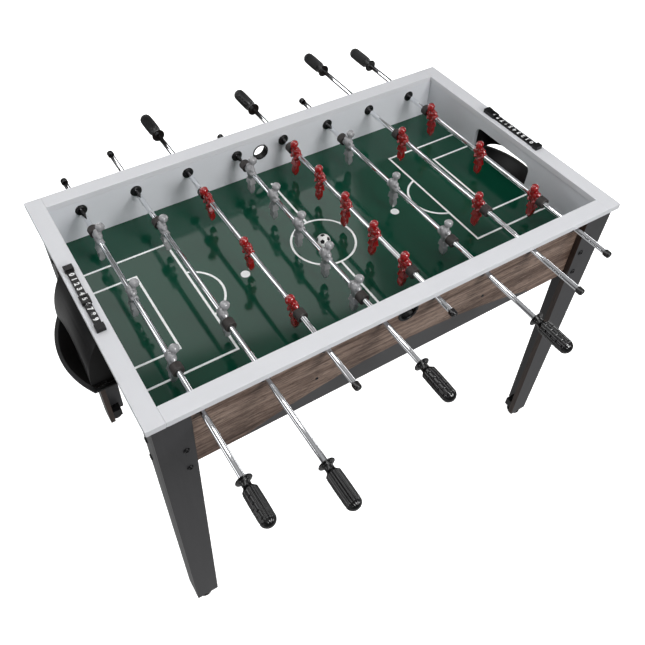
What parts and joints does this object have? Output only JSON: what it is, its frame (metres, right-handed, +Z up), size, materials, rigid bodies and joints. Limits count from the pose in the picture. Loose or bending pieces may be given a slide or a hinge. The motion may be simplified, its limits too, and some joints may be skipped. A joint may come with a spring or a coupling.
{
  "type": "foosball table",
  "caption": "Free-standing table football game with sliding, spinning player rods over a green field, end goals with ball returns, score markers and tapered legs.",
  "frame": {"origin": "on the floor under the centre of the table, the centre of the bottom of its box", "axes": "+X along the table towards the right goal, +Y across it away from the near player side, along the rods, +Z up"},
  "size_m": [1.36, 1.3194, 0.911],
  "materials": {
    "panel_laminate": "satin printed wood-grain laminate outside, light grey inside",
    "rail_laminate": "satin white laminate",
    "field_laminate": "glossy green print with white lines",
    "raw_board": "raw board",
    "leg_laminate": "satin charcoal laminate",
    "black_moulding": "satin moulded black",
    "black_screws": "black zinc",
    "black_gloss": "gloss black with white digits",
    "foot_rubber": "moulded black",
    "ball_plastic": "white with black patches",
    "chrome_tube": "polished",
    "grey_team": "silver grey",
    "red_team": "glossy red",
    "handle_plastic": "satin black, ribbed",
    "bumper_rubber": "matte"
  },
  "bodies": {
    "cabinet": {"side_panel_near": "panel_laminate", "side_panel_far": "panel_laminate", "end_panel_left": "panel_laminate", "end_panel_right": "panel_laminate", "side_rails": "rail_laminate", "end_rail_left": "rail_laminate", "end_rail_right": "rail_laminate", "playfield": "field_laminate", "field_supports": "raw_board", "leg_near_left": "leg_laminate", "leg_near_right": "leg_laminate", "leg_far_left": "leg_laminate", "leg_far_right": "leg_laminate", "leg_brackets": "black_moulding", "cabinet_fasteners": "black_screws", "ball_return_left": "black_moulding", "ball_return_right": "black_moulding", "ball_entry_sleeves": "black_moulding", "rod_bushings": "black_moulding", "score_track_left": "black_gloss", "score_track_right": "black_gloss"},
    "rod_1_slide": {"rod_1_bumpers": "bumper_rubber"},
    "rod_1_spin": {"rod_1_tube": "chrome_tube", "rod_1_men": "grey_team", "rod_1_handle": "handle_plastic"},
    "rod_2_slide": {"rod_2_bumpers": "bumper_rubber"},
    "rod_2_spin": {"rod_2_tube": "chrome_tube", "rod_2_men": "grey_team", "rod_2_handle": "handle_plastic"},
    "rod_3_slide": {"rod_3_bumpers": "bumper_rubber"},
    "rod_3_spin": {"rod_3_tube": "chrome_tube", "rod_3_men": "red_team", "rod_3_handle": "handle_plastic"},
    "rod_4_slide": {"rod_4_bumpers": "bumper_rubber"},
    "rod_4_spin": {"rod_4_tube": "chrome_tube", "rod_4_men": "grey_team", "rod_4_handle": "handle_plastic"},
    "rod_5_slide": {"rod_5_bumpers": "bumper_rubber"},
    "rod_5_spin": {"rod_5_tube": "chrome_tube", "rod_5_men": "red_team", "rod_5_handle": "handle_plastic"},
    "rod_6_slide": {"rod_6_bumpers": "bumper_rubber"},
    "rod_6_spin": {"rod_6_tube": "chrome_tube", "rod_6_men": "grey_team", "rod_6_handle": "handle_plastic"},
    "rod_7_slide": {"rod_7_bumpers": "bumper_rubber"},
    "rod_7_spin": {"rod_7_tube": "chrome_tube", "rod_7_men": "red_team", "rod_7_handle": "handle_plastic"},
    "rod_8_slide": {"rod_8_bumpers": "bumper_rubber"},
    "rod_8_spin": {"rod_8_tube": "chrome_tube", "rod_8_men": "red_team", "rod_8_handle": "handle_plastic"},
    "ball": {"ball": "ball_plastic"},
    "score_marker_left": {"score_marker_left": "black_gloss"},
    "score_marker_right": {"score_marker_right": "black_gloss"},
    "leveller_near_left": {"leveller_near_left": "foot_rubber"},
    "leveller_near_right": {"leveller_near_right": "foot_rubber"},
    "leveller_far_left": {"leveller_far_left": "foot_rubber"},
    "leveller_far_right": {"leveller_far_right": "foot_rubber"}
  },
  "joints": [
    {"name": "rod_1_push", "type": "slide", "parent": "cabinet", "child": "rod_1_slide", "axis": [0, 1, 0], "range_m": [-0.0737, 0.0737]},
    {"name": "rod_1_turn", "type": "hinge", "parent": "rod_1_slide", "child": "rod_1_spin", "pos_m": [-0.49371, 0, 0.8592], "axis": [0, 1, 0], "continuous": true},
    {"name": "rod_2_push", "type": "slide", "parent": "cabinet", "child": "rod_2_slide", "axis": [0, 1, 0], "range_m": [-0.1227, 0.1227]},
    {"name": "rod_2_turn", "type": "hinge", "parent": "rod_2_slide", "child": "rod_2_spin", "pos_m": [-0.35265, 0, 0.8592], "axis": [0, 1, 0], "continuous": true},
    {"name": "rod_3_push", "type": "slide", "parent": "cabinet", "child": "rod_3_slide", "axis": [0, 1, 0], "range_m": [-0.0687, 0.0787]},
    {"name": "rod_3_turn", "type": "hinge", "parent": "rod_3_slide", "child": "rod_3_spin", "pos_m": [-0.21159, 0, 0.8592], "axis": [0, 1, 0], "continuous": true},
    {"name": "rod_4_push", "type": "slide", "parent": "cabinet", "child": "rod_4_slide", "axis": [0, 1, 0], "range_m": [-0.0427, 0.0347]},
    {"name": "rod_4_turn", "type": "hinge", "parent": "rod_4_slide", "child": "rod_4_spin", "pos_m": [-0.07053, 0, 0.8592], "axis": [0, 1, 0], "continuous": true},
    {"name": "rod_5_push", "type": "slide", "parent": "cabinet", "child": "rod_5_slide", "axis": [0, 1, 0], "range_m": [-0.0487, 0.0287]},
    {"name": "rod_5_turn", "type": "hinge", "parent": "rod_5_slide", "child": "rod_5_spin", "pos_m": [0.07053, 0, 0.8592], "axis": [0, 1, 0], "continuous": true},
    {"name": "rod_6_push", "type": "slide", "parent": "cabinet", "child": "rod_6_slide", "axis": [0, 1, 0], "range_m": [-0.0817, 0.0657]},
    {"name": "rod_6_turn", "type": "hinge", "parent": "rod_6_slide", "child": "rod_6_spin", "pos_m": [0.21159, 0, 0.8592], "axis": [0, 1, 0], "continuous": true},
    {"name": "rod_7_push", "type": "slide", "parent": "cabinet", "child": "rod_7_slide", "axis": [0, 1, 0], "range_m": [-0.1227, 0.1227]},
    {"name": "rod_7_turn", "type": "hinge", "parent": "rod_7_slide", "child": "rod_7_spin", "pos_m": [0.35265, 0, 0.8592], "axis": [0, 1, 0], "continuous": true},
    {"name": "rod_8_push", "type": "slide", "parent": "cabinet", "child": "rod_8_slide", "axis": [0, 1, 0], "range_m": [-0.0757, 0.0717]},
    {"name": "rod_8_turn", "type": "hinge", "parent": "rod_8_slide", "child": "rod_8_spin", "pos_m": [0.49371, 0, 0.8592], "axis": [0, 1, 0], "continuous": true},
    {"name": "ball_roll", "type": "slide", "parent": "cabinet", "child": "ball", "axis": [0, 1, 0], "range_m": [-0.287, 0.314]},
    {"name": "score_left_slide", "type": "slide", "parent": "cabinet", "child": "score_marker_left", "axis": [0, 1, 0], "range_m": [-0.0658, 0.08225]},
    {"name": "score_right_slide", "type": "slide", "parent": "cabinet", "child": "score_marker_right", "axis": [0, 1, 0], "range_m": [-0.14805, 0]},
    {"name": "leveller_near_left_screw", "type": "slide", "parent": "cabinet", "child": "leveller_near_left", "axis": [0, 0, -1], "range_m": [0, 0.012]},
    {"name": "leveller_near_right_screw", "type": "slide", "parent": "cabinet", "child": "leveller_near_right", "axis": [0, 0, -1], "range_m": [0, 0.012]},
    {"name": "leveller_far_left_screw", "type": "slide", "parent": "cabinet", "child": "leveller_far_left", "axis": [0, 0, -1], "range_m": [0, 0.012]},
    {"name": "leveller_far_right_screw", "type": "slide", "parent": "cabinet", "child": "leveller_far_right", "axis": [0, 0, -1], "range_m": [0, 0.012]}
  ]
}
